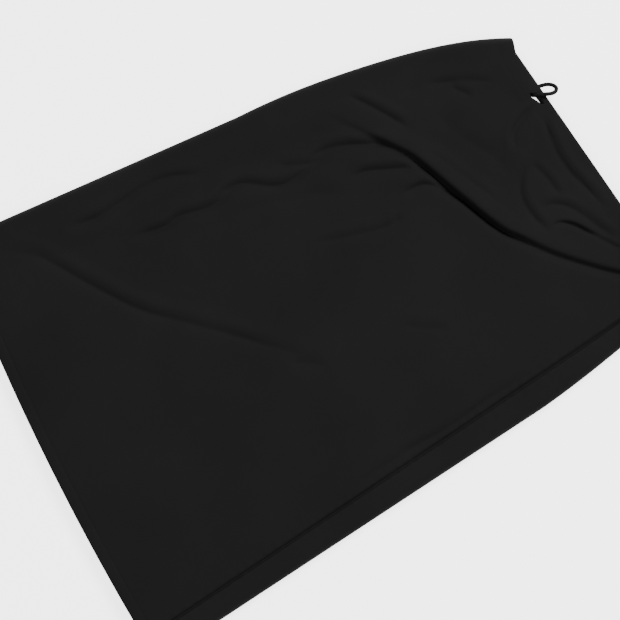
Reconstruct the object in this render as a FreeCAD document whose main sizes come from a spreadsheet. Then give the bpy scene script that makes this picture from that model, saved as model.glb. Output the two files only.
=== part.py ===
import FreeCAD, Part
import math
import os
import Sketcher

# Kayak spray skirt, tube type, laid flat: one layer over another, with a soft
# round fold down each side.  Millimetres.  +X runs from the hem (the end that
# goes over the cockpit rim) to the waist, +Z is up, and the skirt rests on Z = 0.

V = FreeCAD.Vector
HALF = "half circle"

# alias, value.  Places are in the skirt's own frame unless a comment says else.
DIMENSIONS = [
    # cloth and the height of the laid tube
    ("stack", 18.0),
    ("cloth", 1.2),
    ("facing", 0.4),
    ("stitch_gap", 0.1),
    ("fold_out", 9.0),
    # left fold line: straight from the hem, then the curve of the hip
    ("left_hem_y", 270.5),
    ("left_hip_x", 47.5),
    ("left_hip_y", 235.5),
    ("left_waist_x", 377.5),
    ("left_waist_y", 158.5),
    ("left_curve", 905.0),
    # right fold line
    ("right_hem_y", -270.5),
    ("right_hip_x", 197.5),
    ("right_hip_y", -230.0),
    ("right_waist_x", 407.5),
    ("right_waist_y", -190.5),
    ("right_curve", 1442.0),
    # side seams: the right one shows on top, the left one lies underneath
    ("seam_hem_y", -247.5),
    ("seam_waist_x", 406.9),
    ("seam_waist_y", -185.5),
    ("under_hem_y", 245.5),
    ("under_hip_x", 47.5),
    ("under_hip_y", 208.5),
    ("under_waist_x", 374.9),
    ("under_waist_y", 145.5),
    ("seam_gap", 0.4),
    # hem edge: an arc, and its point that is furthest from the waist
    ("hem_bow", 3076.0),
    ("hem_far_x", -354.9),
    ("hem_far_y", -154.8),
    # waist edge, a straight line from this corner to the seam
    ("waist_corner_x", 374.5),
    ("waist_corner_y", 149.5),
    # seam tapes
    ("tape_wide", 12.0),
    ("tape_thick", 0.5),
    ("tape_setback_hem", 15.0),
    ("tape_setback_waist", 25.0),
    ("tape_lean_hem", 1.0),
    ("tape_lean_waist", 2.0),
    ("tape_lean_under", 9.0),
    # hem casing and the elastic that grips the cockpit rim
    ("hem_casing_wide", 12.0),
    ("hem_casing_deep", 2.6),
    ("hem_casing_inset", 1.0),
    ("casing_off_fold", 5.0),
    ("casing_off_seam", 8.0),
    ("elastic_wide", 9.0),
    ("elastic_thick", 1.4),
    ("elastic_gap", 0.3),
    ("elastic_inset", 3.0),
    # waist frame: origin on the casing's middle line, local X along the waist
    # from the left fold to the right one, local Y out towards the waist edge
    ("waist_frame_x", 363.55),
    ("waist_frame_y", 148.44),
    ("waist_turn", -84.47),
    ("casing_half", 10.8),
    ("casing_deep_front", 5.4),
    ("casing_deep_back", 5.4),
    ("front_casing_start", 2.0),
    ("front_casing_end", 329.0),
    ("back_casing_start", 8.0),
    ("back_casing_end", 333.0),
    ("window_left", 45.6),
    ("window_right", 52.2),
    # drawcord, in the waist frame
    ("cord_wide", 4.8),
    ("cord_line", -6.4),
    ("cord_top", 14.2),
    ("cord_low", 3.8),
    ("cord_left", -3.0),
    ("cord_right", 335.0),
    # cord lock, in the waist frame
    ("lock_left", 34.0),
    ("lock_right", 50.0),
    ("lock_back", -10.0),
    ("lock_front", 2.0),
    ("lock_low", 11.8),
    ("lock_top", 16.6),
    ("lock_gap", 0.2),
    ("channel_wide", 4.2),
    ("slider_left", 37.4),
    ("slider_right", 44.6),
    ("slider_nose", -3.7),
    ("slider_neck", 3.0),
    ("slider_end", 6.5),
    ("slider_low", 13.0),
    ("slider_top", 15.4),
    ("slider_gap", 0.4),
    ("slider_flare", 0.7),
    # grab loop of folded webbing at the hem, beside the left fold
    ("grab_line", 215.5),
    ("webbing_wide", 25.0),
    ("webbing_thick", 2.0),
    ("tail_end_x", -294.0),
    ("tail_step_x", -313.0),
    ("tail_ramp_x", -316.5),
    ("tail_low", 1.3),
    ("tail_high", 4.2),
    ("tail_edge_x", -346.2),
    ("grab_root_x", -348.0),
    ("grab_spread_x", -362.5),
    ("grab_eye_x", -364.5),
    ("grab_end_x", -402.5),
    ("grab_middle", 5.2),
    ("grab_half", 5.0),
    ("grab_root_half", 2.0),
    # blank size label, in the waist frame
    ("label_start", 100.0),
    ("label_end", 130.0),
    ("label_reach", -52.0),
    ("label_thick", 0.4),
]

# The pull loop of the drawcord, in the waist frame: out of the lock, through
# the waist edge, round, back over the edge and down through the slit.
LOOP_ROUTE = [
    (48.0, 2.5, 14.3),
    (48.3, 8.2, 14.3),
    (50.2, 14.6, 14.3),
    (52.8, 21.4, 14.1),
    (57.6, 26.6, 14.3),
    (63.2, 28.0, 15.5),
    (66.2, 23.6, 18.0),
    (65.2, 17.8, 21.0),
    (62.2, 12.0, 22.8),
    (59.3, 7.0, 23.0),
    (57.0, 2.8, 21.2),
    (54.8, -0.4, 17.6),
    (52.7, -1.3, 13.9),
]

# The slit in both layers of the waist that the loop goes down through.
SLIT = [
    (49.0, -3.4),
    (54.6, -4.6),
    (58.4, -2.6),
    (69.3, 1.5),
    (69.5, 4.4),
    (54.8, 5.6),
]

DOC = FreeCAD.newDocument("spray_skirt")
SHEET = DOC.addObject("Spreadsheet::Sheet", "Dims")
for row, (alias, amount) in enumerate(DIMENSIONS, start=1):
    SHEET.set(f"A{row}", alias)
    SHEET.set(f"B{row}", str(amount))
    SHEET.setAlias(f"B{row}", alias)
DOC.recompute()


def value(expression):
    """The number that an expression of the sheet's aliases comes to."""
    return float(SHEET.evalExpression(expression))


def bound(expression):
    """The same expression, as another object of the document writes it."""
    words = expression.split()
    return " ".join(f"Dims.{word}" if word[0].isalpha() else word for word in words)


def new_body(label):
    body = DOC.addObject("PartDesign::Body", label)
    body.Label = label
    return body


def origin_plane(body, role):
    return next(item for item in body.Origin.OriginFeatures if item.Role == role)


def new_sketch(body, name, role, offset=None):
    """A sketch on one of the body's origin planes, at a bound distance from it."""
    sketch = body.newObject("Sketcher::SketchObject", name)
    sketch.AttachmentSupport = [(origin_plane(body, role), "")]
    sketch.MapMode = "FlatFace"
    if offset:
        sketch.setExpression("AttachmentOffset.Base.z", bound(offset))
    return sketch


def arc_between(start, end, radius, turn):
    """An arc from start to end that turns left (+1) or right (-1), and its two ends."""
    chord_x, chord_y = end[0] - start[0], end[1] - start[1]
    chord = math.hypot(chord_x, chord_y)
    rise = math.sqrt(max(0.0, radius**2 - chord**2 / 4))
    centre_x = (start[0] + end[0]) / 2 - turn * chord_y / chord * rise
    centre_y = (start[1] + end[1]) / 2 + turn * chord_x / chord * rise
    first = math.atan2(start[1] - centre_y, start[0] - centre_x)
    last = math.atan2(end[1] - centre_y, end[0] - centre_x)
    circle = Part.Circle(V(centre_x, centre_y, 0), V(0, 0, 1), radius)
    if turn > 0:
        return Part.ArcOfCircle(circle, first, last), (1, 2)
    return Part.ArcOfCircle(circle, last, first), (2, 1)


def bind(sketch, constrained, expression):
    """Constrain a sketch to an expression of the sheet."""
    constraint = Sketcher.Constraint(*constrained, value(expression))
    index = sketch.addConstraint(constraint)
    sketch.setExpression(f"Constraints[{index}]", bound(expression))


def pin_point(sketch, geometry, end, place):
    """Bind one end of a line or arc to its place in the sheet."""
    bind(sketch, ("DistanceX", -1, 1, geometry, end), place[0])
    bind(sketch, ("DistanceY", -1, 1, geometry, end), place[1])


def draw_circle(sketch, centre, diameter):
    place = V(value(centre[0]), value(centre[1]), 0)
    radius = value(f"{diameter} / 2")
    geometry = sketch.addGeometry(Part.Circle(place, V(0, 0, 1), radius))
    pin_point(sketch, geometry, 3, centre)
    bind(sketch, ("Radius", geometry), f"{diameter} / 2")


def draw_path(sketch, start, steps, closed=False):
    """Draw lines and arcs from point to point.  A step is a place, or a place
    with a radius and the way that the arc turns.  A radius of HALF is a half
    circle whose ends lie one above the other."""
    here = [value(expression) for expression in start]
    first = None
    previous = None
    for count, step in enumerate(steps):
        place = step[:2]
        there = [value(expression) for expression in place]
        if len(step) == 2:
            segment = Part.LineSegment(V(*here, 0), V(*there, 0))
            ends = (1, 2)
        elif step[2] == HALF:
            segment, ends = arc_between(here, there, math.dist(here, there) / 2, step[3])
        else:
            segment, ends = arc_between(here, there, value(step[2]), step[3])
        geometry = sketch.addGeometry(segment)
        if previous is None:
            first = (geometry, ends[0])
            pin_point(sketch, geometry, ends[0], start)
        else:
            sketch.addConstraint(
                Sketcher.Constraint("Coincident", *previous, geometry, ends[0]))
        if closed and count == len(steps) - 1:
            sketch.addConstraint(
                Sketcher.Constraint("Coincident", geometry, ends[1], *first))
        else:
            pin_point(sketch, geometry, ends[1], place)
        if len(step) > 2 and step[2] == HALF:
            bind(sketch, ("DistanceX", -1, 1, geometry, 3), step[0])
        elif len(step) > 2:
            bind(sketch, ("Radius", geometry), step[2])
        here = there
        previous = (geometry, ends[1])


def outline(body, name, role, corners, offset=None):
    """A closed sketch whose first corner is also its last."""
    sketch = new_sketch(body, name, role, offset)
    draw_path(sketch, corners[0][:2], corners[1:] + [corners[0]], closed=True)
    return sketch


def rectangle(body, name, role, low_a, high_a, low_b, high_b, offset=None):
    corners = [(low_a, low_b), (high_a, low_b), (high_a, high_b), (low_a, high_b)]
    return outline(body, name, role, corners, offset)


def pad(body, name, sketch, length, midplane=False):
    feature = body.newObject("PartDesign::Pad", name)
    feature.Profile = sketch
    feature.Midplane = midplane
    feature.setExpression("Length", bound(length))
    DOC.recompute()
    return feature


def cut(body, name, sketch, kind="ThroughAll", length=None):
    """Pocket both ways from the sketch; it must take something away."""
    before = body.Tip.Shape.Volume
    feature = body.newObject("PartDesign::Pocket", name)
    feature.Profile = sketch
    feature.Midplane = True
    feature.Type = kind
    if length:
        feature.setExpression("Length", bound(length))
    DOC.recompute()
    if not feature.Shape.Volume < before - 0.01:
        raise RuntimeError(f"{body.Label}: {name} cuts nothing")
    return feature


def pipe(body, name, profile, spine, upright=True):
    """Sweep a profile along a flat path; upright holds its up direction vertical."""
    feature = body.newObject("PartDesign::AdditivePipe", name)
    feature.Profile = profile
    feature.Spine = spine
    if upright:
        feature.Mode = "Binormal"
        feature.Binormal = V(0, 0, 1)
    feature.Transition = "Right corner"
    DOC.recompute()
    return feature


def into_waist_frame(body):
    """Place a body that is drawn in the waist's own frame."""
    body.setExpression("Placement.Base.x", bound("waist_frame_x"))
    body.setExpression("Placement.Base.y", bound("waist_frame_y"))
    body.Placement.Rotation = FreeCAD.Rotation(V(0, 0, 1), value("waist_turn"))
    DOC.recompute()


def slit_outline(body, name):
    sketch = new_sketch(body, name, "XY_Plane")
    turn = FreeCAD.Rotation(V(0, 0, 1), value("waist_turn"))
    base = V(value("waist_frame_x"), value("waist_frame_y"), 0)
    corners = [turn.multVec(V(*corner, 0)) + base for corner in SLIT]
    for corner, following in zip(corners, corners[1:] + corners[:1]):
        sketch.addGeometry(Part.LineSegment(corner, following))
    return sketch


def hem_at(along):
    """A point of the hem edge, from its Y.  The arc is so flat that its offset
    is the square of the distance along it over twice its radius."""
    away = f"( {along} - hem_far_y )"
    return (f"hem_far_x + {away} * {away} / ( 2 * hem_bow )", along)


LEFT_FOLD = [
    hem_at("left_hem_y"),
    ("left_hip_x", "left_hip_y"),
    ("left_waist_x", "left_waist_y", "left_curve", -1),
]
RIGHT_FOLD = [
    hem_at("right_hem_y"),
    ("right_hip_x", "right_hip_y"),
    ("right_waist_x", "right_waist_y", "right_curve", 1),
]


def side_fold(body, side, fold):
    """The half-round fold of cloth down one side of the laid skirt."""
    hem_x, line = fold[0]
    facing_out = -1 if side == "left" else 1
    rim = new_sketch(body, "fold_section", "YZ_Plane", hem_x)
    draw_path(rim, (line, "stack"), [
        (line, "stack - 2 * fold_out", HALF, facing_out),
        (line, "cloth"),
        (line, "stack - cloth", HALF, -facing_out),
        (line, "stack"),
    ], closed=True)
    spine = new_sketch(body, "fold_line", "XY_Plane")
    draw_path(spine, fold[0], fold[1:])
    DOC.recompute()
    pipe(body, "side_fold", rim, spine)


def front_panel():
    """The upper layer; it wraps the left fold to the seam underneath."""
    body = new_body("front_panel")
    side_fold(body, "left", LEFT_FOLD)
    top = outline(body, "top_outline", "XY_Plane", [
        LEFT_FOLD[0] + ("hem_bow", -1),
        *LEFT_FOLD[1:],
        ("waist_corner_x", "waist_corner_y"),
        ("seam_waist_x", "seam_waist_y + seam_gap"),
        hem_at("seam_hem_y + seam_gap"),
    ], "stack - cloth")
    pad(body, "top_layer", top, "cloth")
    under = outline(body, "under_outline", "XY_Plane", [
        LEFT_FOLD[0],
        *LEFT_FOLD[1:],
        ("under_waist_x", "under_waist_y + seam_gap"),
        ("under_hip_x", "under_hip_y + seam_gap", "left_curve", 1),
        hem_at("under_hem_y + seam_gap"),
    ])
    pad(body, "under_strip", under, "cloth")
    cut(body, "slit", slit_outline(body, "slit_outline"))
    return body


def back_panel():
    """The lower layer; it wraps the right fold to the seam on top."""
    body = new_body("back_panel")
    side_fold(body, "right", RIGHT_FOLD)
    low = outline(body, "low_outline", "XY_Plane", [
        RIGHT_FOLD[0] + ("hem_bow", 1),
        *RIGHT_FOLD[1:],
        ("under_waist_x", "under_waist_y"),
        ("under_hip_x", "under_hip_y", "left_curve", 1),
        hem_at("under_hem_y"),
    ])
    pad(body, "low_layer", low, "cloth")
    strip = outline(body, "strip_outline", "XY_Plane", [
        RIGHT_FOLD[0],
        *RIGHT_FOLD[1:],
        ("seam_waist_x", "seam_waist_y"),
        hem_at("seam_hem_y"),
    ], "stack - cloth")
    pad(body, "top_strip", strip, "cloth")
    cut(body, "slit", slit_outline(body, "slit_outline"))
    return body


def seam_tape(label, path, low):
    """A flat tape inside the skirt, centred on a side seam."""
    body = new_body(label)
    start_x, start_y = path[0]
    section = rectangle(
        body, "tape_section", "YZ_Plane",
        f"{start_y} - tape_wide / 2", f"{start_y} + tape_wide / 2",
        low, f"{low} + tape_thick", start_x)
    spine = new_sketch(body, "seam_line", "XY_Plane")
    draw_path(spine, path[0], path[1:])
    DOC.recompute()
    pipe(body, "tape", section, spine)
    return body


def hem_casing(label, start, end, on_top):
    """The turned hem: a shallow channel along the hem's inner face."""
    body = new_body(label)
    start_x, start_y = start
    touch = "stack - cloth - stitch_gap" if on_top else "cloth + stitch_gap"
    deep = f"{touch} - hem_casing_deep" if on_top else f"{touch} + hem_casing_deep"
    inside = f"{deep} + facing" if on_top else f"{deep} - facing"
    near = f"{start_x} + hem_casing_inset"
    far = f"{near} + hem_casing_wide"
    section = outline(body, "hem_section", "XZ_Plane", [
        (near, touch),
        (near, deep),
        (far, deep),
        (far, touch),
        (f"{far} - facing", touch),
        (f"{far} - facing", inside),
        (f"{near} + facing", inside),
        (f"{near} + facing", touch),
    ], f"0 - ( {start_y} )")
    spine = new_sketch(body, "hem_line", "XY_Plane")
    draw_path(spine, start, [(*end, "hem_bow", 1)])
    DOC.recompute()
    pipe(body, "casing", section, spine, upright=False)
    return body


def hem_elastic():
    """The flat elastic ring in the hem: two runs along the hem and two bends."""
    left = V(*[value(part) for part in hem_at("left_hem_y - elastic_inset")], 0)
    right = V(*[value(part) for part in hem_at("right_hem_y + elastic_inset")], 0)
    setback = value("hem_casing_inset + hem_casing_wide / 2")
    left.x += setback
    right.x += setback
    bow = value("hem_bow")
    half_chord = (right - left) / 2
    across = V(-half_chord.y, half_chord.x, 0).normalize()
    centre = left + half_chord + across * math.sqrt(bow**2 - half_chord.Length**2)
    sweep = 2 * math.degrees(math.asin(half_chord.Length / bow))
    outward = (left - centre).normalize()
    half_wide = outward * (value("elastic_wide") / 2)
    up = V(0, 0, 1)
    top = value("stack - cloth - elastic_gap")
    thick = value("elastic_thick")
    axis_height = value("stack / 2")
    corners = [
        left - half_wide + up * (top - thick),
        left + half_wide + up * (top - thick),
        left + half_wide + up * top,
        left - half_wide + up * top,
    ]
    section = Part.Face(Part.makePolygon(corners + corners[:1]))
    turn = FreeCAD.Rotation(V(0, 0, 1), sweep)
    moved = section.copy()
    moved.rotate(centre, V(0, 0, 1), sweep)
    right_end = turn.multVec(left - centre) + centre
    right_out = turn.multVec(outward)
    top_run = section.revolve(centre, V(0, 0, 1), sweep)
    left_bend = section.revolve(left + up * axis_height, outward, 180)
    right_bend = moved.revolve(right_end + up * axis_height, right_out, -180)
    low_run = top_run.mirror(V(0, 0, axis_height), up)
    ring = top_run.multiFuse([left_bend, right_bend, low_run]).removeSplitter()
    node = DOC.addObject("Part::Feature", "hem_elastic")
    node.Label = "hem_elastic"
    node.Shape = ring
    node.Placement = FreeCAD.Placement()
    return node


def waist_casing(label, start, end, on_top):
    """The waist channel for the drawcord, on the inner face of one layer."""
    body = new_body(label)
    touch = "stack - cloth - stitch_gap" if on_top else "cloth + stitch_gap"
    deep = f"{touch} - casing_deep_front" if on_top else f"{touch} + casing_deep_back"
    inside = f"{deep} + facing" if on_top else f"{deep} - facing"
    section = outline(body, "casing_section", "YZ_Plane", [
        ("0 - casing_half", touch),
        ("0 - casing_half", deep),
        ("casing_half", deep),
        ("casing_half", touch),
        ("casing_half - facing", touch),
        ("casing_half - facing", inside),
        ("facing - casing_half", inside),
        ("facing - casing_half", touch),
    ], start)
    pad(body, "channel", section, f"{end} - {start}")
    slit = new_sketch(body, "slit_outline", "XY_Plane")
    for corner, following in zip(SLIT, SLIT[1:] + SLIT[:1]):
        slit.addGeometry(Part.LineSegment(V(*corner, 0), V(*following, 0)))
    cut(body, "slit", slit)
    if on_top:
        window = rectangle(
            body, "window_outline", "XZ_Plane",
            "window_left", "window_right",
            "stack - cloth - casing_deep_front + facing",
            "stack - cloth", "0 - casing_half")
        cut(body, "loop_window", window, "Length", "cord_wide")
    into_waist_frame(body)
    return body


def waist_drawcord():
    """The cord inside the casing: from the lock, once round the waist, and back."""
    body = new_body("waist_drawcord")
    path = new_sketch(body, "cord_path", "XZ_Plane", "0 - cord_line")
    draw_path(path, ("lock_right + lock_gap", "cord_top"), [
        ("cord_right", "cord_top"),
        ("cord_right", "cord_low", HALF, -1),
        ("cord_left", "cord_low"),
        ("cord_left", "cord_top", HALF, -1),
        ("lock_left - lock_gap", "cord_top"),
    ])
    section = new_sketch(body, "cord_section", "YZ_Plane", "lock_right + lock_gap")
    draw_circle(section, ("cord_line", "cord_top"), "cord_wide")
    DOC.recompute()
    pipe(body, "cord", section, path, upright=False)
    into_waist_frame(body)
    return body


def tube_on_route(route, diameter):
    """A tube on straight runs joined by tangent arcs, each as large as its runs allow."""
    points = [V(*point) for point in route]
    edges = []
    radii = []
    here = points[0]
    for before, corner, after in zip(points, points[1:], points[2:]):
        way_in = (corner - before).normalize()
        way_out = (after - corner).normalize()
        half_turn = way_in.getAngle(way_out) / 2
        reach = 0.45 * min((corner - before).Length, (after - corner).Length)
        radii.append(reach / math.tan(half_turn))
        start = corner - way_in * reach
        end = corner + way_out * reach
        inward = (way_out - way_in).normalize()
        middle_depth = radii[-1] * (1 / math.cos(half_turn) - 1)
        edges.append(Part.LineSegment(here, start).toShape())
        edges.append(Part.Arc(start, corner + inward * middle_depth, end).toShape())
        here = end
    edges.append(Part.LineSegment(here, points[-1]).toShape())
    path = Part.Wire(edges)
    first = (points[1] - points[0]).normalize()
    ring = Part.Wire(Part.Circle(points[0], first, diameter / 2).toShape())
    tube = path.makePipeShell([ring], True, False)
    expected = math.pi * diameter**2 / 4 * path.Length
    print("loop radii, mm:", [round(radius, 1) for radius in radii])
    print(f"loop length {path.Length:.1f} mm, volume {tube.Volume:.1f} of {expected:.1f} mm3")
    if abs(tube.Volume - expected) > 0.01 * expected:
        raise RuntimeError("the loop's volume is not its section times its length")
    return tube


def drawcord_loop():
    """The pull loop that stands out of the waist edge, one free cord."""
    tube = tube_on_route(LOOP_ROUTE, value("cord_wide"))
    node = DOC.addObject("Part::Feature", "drawcord_loop")
    node.Label = "drawcord_loop"
    node.Shape = tube
    node.Placement = FreeCAD.Placement(
        V(value("waist_frame_x"), value("waist_frame_y"), 0),
        FreeCAD.Rotation(V(0, 0, 1), value("waist_turn")))
    return node


def cord_lock_body():
    """The moulded block that the drawcord runs through, with the slider's cavity."""
    body = new_body("cord_lock_body")
    block = rectangle(body, "block_outline", "XY_Plane",
                      "lock_left", "lock_right", "lock_back", "lock_front", "lock_low")
    pad(body, "block", block, "lock_top - lock_low")
    cavity = rectangle(body, "cavity_outline", "XZ_Plane",
                       "slider_left - slider_gap", "slider_right + slider_gap",
                       "slider_low - slider_gap", "slider_top + slider_gap",
                       "0 - lock_front")
    cut(body, "cavity", cavity, "Length", "2 * ( lock_front - cord_line )")
    channel = new_sketch(body, "channel_outline", "YZ_Plane", "lock_left")
    draw_circle(channel, ("cord_line", "( lock_low + lock_top ) / 2"), "channel_wide")
    cut(body, "cord_channel", channel)
    into_waist_frame(body)
    return body


def cord_lock_slider():
    """The sprung slider: its nose grips the cord, and its head is pulled to free it."""
    body = new_body("cord_lock_slider")
    shank = rectangle(body, "shank_outline", "XY_Plane",
                      "slider_left", "slider_right", "slider_nose", "slider_neck",
                      "slider_low")
    pad(body, "shank", shank, "slider_top - slider_low")
    head = rectangle(body, "head_outline", "XY_Plane",
                     "slider_left - slider_flare", "slider_right + slider_flare",
                     "slider_neck", "slider_end", "slider_low - slider_flare")
    pad(body, "head", head, "slider_top - slider_low + 2 * slider_flare")
    into_waist_frame(body)
    return body


def grab_tail():
    """The sewn end of the grab loop: flat on the cloth, then up over the hem casing."""
    body = new_body("grab_tail")
    profile = outline(body, "tail_profile", "XZ_Plane", [
        ("tail_end_x", "tail_low"),
        ("tail_end_x", "tail_low + webbing_thick"),
        ("tail_step_x", "tail_low + webbing_thick"),
        ("tail_ramp_x", "tail_high + webbing_thick"),
        ("tail_edge_x", "tail_high + webbing_thick"),
        ("tail_edge_x", "tail_high"),
        ("tail_ramp_x + webbing_thick / 2", "tail_high"),
        ("tail_step_x + webbing_thick / 2", "tail_low"),
    ], "0 - grab_line")
    pad(body, "tail", profile, "webbing_wide", midplane=True)
    return body


def grab_loop():
    """The loop of webbing that is pulled to free the skirt from the rim."""
    body = new_body("grab_loop")
    profile = outline(body, "loop_profile", "XZ_Plane", [
        ("grab_root_x", "grab_middle + grab_root_half"),
        ("grab_spread_x", "grab_middle + grab_half"),
        ("grab_end_x", "grab_middle + grab_half"),
        ("grab_end_x", "grab_middle - grab_half", HALF, 1),
        ("grab_spread_x", "grab_middle - grab_half"),
        ("grab_root_x", "grab_middle - grab_root_half"),
    ], "0 - grab_line")
    pad(body, "loop", profile, "webbing_wide", midplane=True)
    inner = "( grab_half - webbing_thick )"
    eye = outline(body, "eye_profile", "XZ_Plane", [
        ("grab_eye_x", f"grab_middle + {inner}"),
        ("grab_end_x", f"grab_middle + {inner}"),
        ("grab_end_x", f"grab_middle - {inner}", HALF, 1),
        ("grab_eye_x", f"grab_middle - {inner}"),
    ], "0 - grab_line")
    cut(body, "eye", eye)
    return body


def size_label():
    """A blank label, sewn to the inside of the lower layer by the waist casing."""
    body = new_body("size_label")
    shape = rectangle(body, "label_outline", "XY_Plane",
                      "label_start", "label_end", "label_reach",
                      "0 - casing_half - stitch_gap", "cloth + stitch_gap")
    pad(body, "label", shape, "label_thick")
    into_waist_frame(body)
    return body


TOP_TOUCH = "stack - cloth - stitch_gap"
LOW_TOUCH = "cloth + stitch_gap"

NODES = [
    front_panel(),
    back_panel(),
    seam_tape("seam_tape_right", [
        ("hem_far_x + tape_setback_hem", "seam_hem_y + tape_lean_hem"),
        ("seam_waist_x - tape_setback_waist", "seam_waist_y - tape_lean_waist"),
    ], f"{TOP_TOUCH} - tape_thick"),
    seam_tape("seam_tape_left", [
        (f"{hem_at('under_hem_y')[0]} + tape_setback_hem", "under_hem_y - tape_lean_hem"),
        ("under_hip_x", "under_hip_y"),
        ("under_waist_x - tape_setback_waist", "under_waist_y + tape_lean_under", "left_curve", -1),
    ], LOW_TOUCH),
    hem_casing("hem_casing_front", hem_at("left_hem_y - casing_off_fold"),
               hem_at("seam_hem_y + casing_off_seam"), True),
    hem_casing("hem_casing_back", hem_at("under_hem_y - casing_off_seam"),
               hem_at("right_hem_y + casing_off_fold"), False),
    hem_elastic(),
    waist_casing("waist_casing_front", "front_casing_start", "front_casing_end", True),
    waist_casing("waist_casing_back", "back_casing_start", "back_casing_end", False),
    waist_drawcord(),
    drawcord_loop(),
    cord_lock_body(),
    cord_lock_slider(),
    grab_tail(),
    grab_loop(),
    size_label(),
]
DOC.recompute()

for item in DOC.Objects:
    if {"Invalid", "Error"} & set(item.State):
        raise RuntimeError(f"{item.Name} failed: {item.State}")
for node in NODES:
    if node.Shape.isNull() or not node.Shape.isValid() or not node.Shape.Solids:
        raise RuntimeError(f"{node.Label} has no valid solid")

os.makedirs("parts", exist_ok=True)
for node in NODES:
    node.Shape.exportStep(f"parts/{node.Label}.step")
    box = node.Shape.BoundBox
    print(f"{node.Label:20s} solids {len(node.Shape.Solids)} volume {node.Shape.Volume:10.1f}"
          f"  x {box.XMin:7.1f} {box.XMax:7.1f}  y {box.YMin:7.1f} {box.YMax:7.1f}"
          f"  z {box.ZMin:5.2f} {box.ZMax:5.2f}")
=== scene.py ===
import math

import bpy
import numpy as np
from mathutils import Matrix, Vector


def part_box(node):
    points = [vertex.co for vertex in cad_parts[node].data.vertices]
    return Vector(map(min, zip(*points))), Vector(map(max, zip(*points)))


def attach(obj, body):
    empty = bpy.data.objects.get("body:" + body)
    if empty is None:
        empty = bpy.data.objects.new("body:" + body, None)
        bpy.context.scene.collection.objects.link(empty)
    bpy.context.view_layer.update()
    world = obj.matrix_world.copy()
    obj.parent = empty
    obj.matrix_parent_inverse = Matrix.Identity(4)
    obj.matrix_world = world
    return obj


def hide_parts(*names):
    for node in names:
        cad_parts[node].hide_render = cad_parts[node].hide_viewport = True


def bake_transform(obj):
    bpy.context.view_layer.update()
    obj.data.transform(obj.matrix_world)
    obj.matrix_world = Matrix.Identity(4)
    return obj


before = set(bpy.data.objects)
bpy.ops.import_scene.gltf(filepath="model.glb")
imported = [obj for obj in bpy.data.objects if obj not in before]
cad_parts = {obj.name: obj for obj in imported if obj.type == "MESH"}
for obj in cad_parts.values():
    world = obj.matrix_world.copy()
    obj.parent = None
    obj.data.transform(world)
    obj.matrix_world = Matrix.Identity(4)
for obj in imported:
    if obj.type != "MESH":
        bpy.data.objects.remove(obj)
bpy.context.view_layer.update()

# A tube-type kayak spray skirt laid flat on a pale floor, seen from straight above.
# Lengths are millimetres until a mesh or an object is made, where MM turns them
# into the frame's metres.

MM = 0.001

# ---------------------------------------------------------------- driving sizes
CLOTH = 1.2
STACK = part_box("front_panel")[1][2] / MM
MIDDLE = STACK / 2
ROLL = STACK / 2 - CLOTH / 2          # radius of the cloth's own middle at a fold
# each side's fold line: straight from the hem to the hip, then an arc to the waist
LEFT_HEM_Y = 270.5
LEFT_HIP = (47.5, 235.5)
LEFT_WAIST = (377.5, 158.5)
LEFT_RADIUS = 905.0
RIGHT_HEM_Y = -270.5
RIGHT_HIP = (197.5, -230.0)
RIGHT_WAIST = (407.5, -190.5)
RIGHT_RADIUS = 1442.0
# the hem edge is an arc, and the waist edge is straight from its corner to the seam
HEM_BOW = 3076.0
HEM_FAR = (-354.9, -154.8)
WAIST_CORNER = (374.5, 149.5)
WAIST_SEAM = (406.9, -185.5)
SEAM_HEM_Y = -247.5
UNDER_SEAM_INSET = (25.0, 27.0, 13.0)  # from the left fold line, at hem, hip and waist
LENGTH = 735.0                         # hem to waist, between the two sides' lengths
HEM_DEPTH = 13.0
CASING_DEPTH = 21.5
CROWN = 2.4                            # the middle of the top layer over its sides
WAIST_SWELL = 0.9                      # the full casing stands a little proud
LOCK_SWELL = 0.9                       # and so does the cord lock under it
LOCK_MIDDLE = (42.0, -4.0)             # in the waist's frame
LOCK_REACH = 13.0
STEP = 2.5                             # spacing of the cloth's mesh
BACK_STEP = 3.2 * STEP                 # and across the lower layer
ACROSS = 520.0                         # a layer's width, to count its columns
TAPE_FROM_HEM = 16.0
TAPE_FROM_WAIST = 25.0
WEBBING_WIDE = 25.0
WEBBING_THICK = 1.6

# the waist's own frame: X along the waist from the left fold, Y out of the edge
WAIST_ORIGIN = Vector((363.55, 148.44, 0.0))
WAIST_TURN = Matrix.Rotation(math.radians(-84.47), 4, "Z")
CORD_WIDE = 4.8
# the pull loop: out of the lock and the waist edge, round, and down through the slit
LOOP_ROUTE = [
    (48.0, 2.5, 14.3),
    (48.3, 8.2, 14.3),
    (50.2, 14.6, 14.3),
    (52.8, 21.4, 14.1),
    (57.6, 26.6, 14.3),
    (63.2, 28.0, 15.5),
    (66.2, 23.6, 18.0),
    (65.2, 17.8, 21.0),
    (62.2, 12.0, 22.8),
    (59.3, 7.0, 23.0),
    (57.0, 2.8, 21.2),
    (54.8, -0.4, 17.6),
    (52.7, -1.3, 13.9),
]
SLIT = [(50.0, -2.8), (54.6, -4.2), (58.4, -2.6), (69.3, 1.5), (69.5, 4.0), (55.4, 3.6)]


def smooth(edge0, edge1, x):
    """0 below edge0, 1 above edge1, and an even ease between."""
    k = np.clip((x - edge0) / (edge1 - edge0), 0.0, 1.0)
    return k * k * (3 - 2 * k)


def waist_to_frame(point):
    return WAIST_ORIGIN + WAIST_TURN @ Vector(point)


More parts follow.
